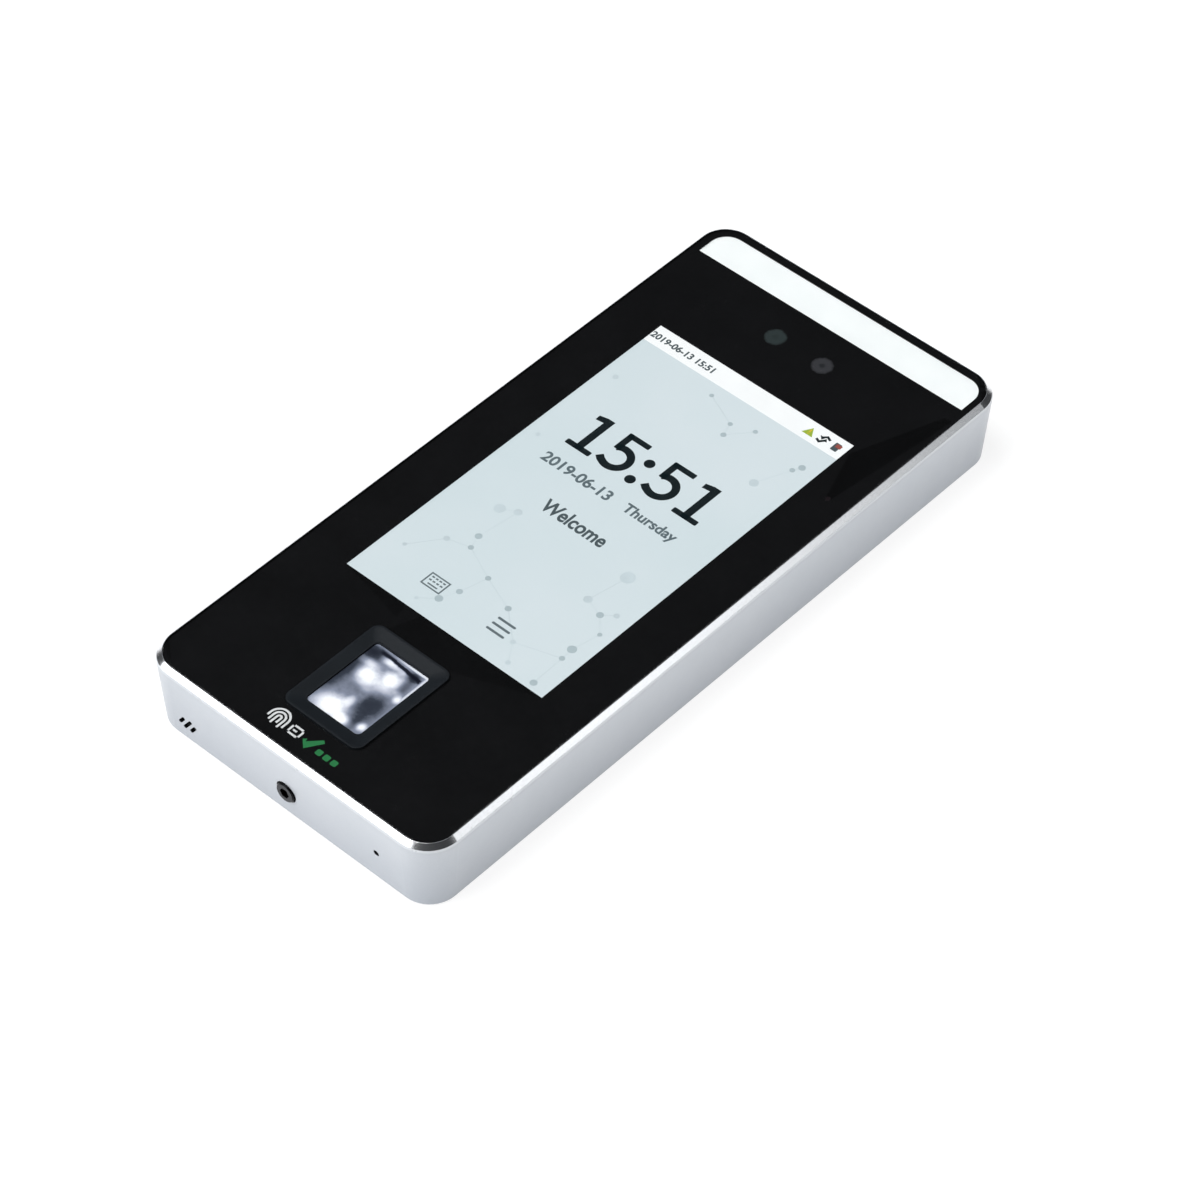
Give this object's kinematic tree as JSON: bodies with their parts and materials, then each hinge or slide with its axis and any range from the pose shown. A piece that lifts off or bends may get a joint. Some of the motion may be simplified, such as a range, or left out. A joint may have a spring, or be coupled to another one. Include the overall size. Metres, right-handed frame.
{
  "type": "fingerprint scanner terminal",
  "caption": "Wall-mounted fingerprint and face access terminal with a portrait touch screen, white flash strip, silver frame, cable bay and wall plate.",
  "frame": {"origin": "bottom centre of the whole terminal lying on its back, in the plane of the wall plate's rear face", "axes": "+X to the right of a person facing the screen, +Y up the screen towards the cameras, +Z out of the screen"},
  "size_m": [0.092, 0.203, 0.0215],
  "materials": {
    "satin_silver": "satin",
    "cover_glass": "clear polished",
    "black_print": "gloss black ink",
    "adhesive_black": "foam tape",
    "diffuser_white": "translucent white",
    "board_green": "solder mask",
    "board_black": "solder mask",
    "led_white": "LED package",
    "led_dark": "tinted LED package",
    "black_plastic": "fine grain",
    "charcoal_plastic": "satin",
    "lens_glass": "coated glass",
    "display_face": "display surface",
    "white_plastic": "satin",
    "clear_acrylic": "clear",
    "sheet_steel": "zinc plated",
    "sheet_aluminium": "plain",
    "cable_film": "polyimide film",
    "prism_glass": "optical glass",
    "black_rubber": "matte",
    "chip_black": "moulded",
    "brass_gold": "plated",
    "copper_wire": "enamelled copper",
    "relay_blue": "moulded",
    "capacitor_can": "bright",
    "black_steel": "black oxide",
    "zinc_screw": "zinc plated",
    "plate_coat": "black powder coat",
    "label_silver": "blank label",
    "button_tan": "satin"
  },
  "bodies": {
    "housing": {"front_frame": "satin_silver", "front_glass": "cover_glass", "glass_print_film": "black_print", "glass_adhesive": "adhesive_black", "flash_diffuser": "diffuser_white", "flash_board": "board_black", "flash_leds": "led_white", "camera_bracket": "black_plastic", "camera_board": "board_green", "color_camera_module": "black_plastic", "infrared_camera_module": "black_plastic", "lens_barrels": "black_plastic", "camera_lenses": "lens_glass", "infrared_leds": "led_dark", "light_sensor": "board_black", "touch_sensor": "cover_glass", "display_panel": "display_face", "backlight_tray": "sheet_steel", "light_guide": "clear_acrylic", "mid_plate": "sheet_aluminium", "mid_plate_screws": "zinc_screw", "display_cable": "cable_film", "fingerprint_bezel": "charcoal_plastic", "fingerprint_prism": "prism_glass", "fingerprint_seal": "black_rubber", "fingerprint_housing": "black_plastic", "fingerprint_board": "board_green", "fingerprint_imager": "chip_black", "fingerprint_leds": "led_white", "card_antenna_board": "board_green", "main_board": "board_green", "board_spacers": "brass_gold", "board_screws": "zinc_screw", "processor_shield": "sheet_steel", "processor": "chip_black", "capacitors": "capacitor_can", "coin_cell_holder": "black_plastic", "coin_cell": "sheet_steel", "network_transformer": "chip_black", "relay_case": "relay_blue", "relay_coil": "copper_wire", "relay_yoke": "sheet_steel", "network_socket": "sheet_steel", "network_contacts": "brass_gold", "wiring_headers": "white_plastic", "header_pins": "brass_gold", "speaker_box": "black_plastic", "speaker_driver": "chip_black", "reset_switch": "black_plastic", "tamper_switch": "black_plastic", "rear_shell": "black_plastic", "rear_gasket": "black_rubber", "rear_shell_screws": "black_steel", "rating_label": "label_silver", "wall_plate": "plate_coat", "plate_nut": "zinc_screw"},
    "reset_button": {"reset_plunger": "button_tan"},
    "tamper_button": {"tamper_plunger": "button_tan"},
    "lock_screw": {"fixing_screw": "black_steel"},
    "relay_lever": {"relay_armature": "sheet_steel"}
  },
  "joints": [
    {"name": "lock_screw_turn", "type": "hinge", "parent": "housing", "child": "lock_screw", "pos_m": [0, -0.098, 0.00775], "axis": [0, -1, 0], "continuous": true},
    {"name": "reset_press", "type": "slide", "parent": "housing", "child": "reset_button", "axis": [0, 1, 0], "range_m": [0, 0.0005], "stiffness_N_per_m": 2000},
    {"name": "tamper_press", "type": "slide", "parent": "housing", "child": "tamper_button", "axis": [0, 0, 1], "range_m": [0, 0.0014], "stiffness_N_per_m": 400},
    {"name": "relay_pull", "type": "hinge", "parent": "housing", "child": "relay_lever", "pos_m": [0.0236, -0.0218, 0.01], "axis": [1, 0, 0], "range_deg": [-6, 0], "stiffness_Nm_per_rad": 0.002}
  ]
}
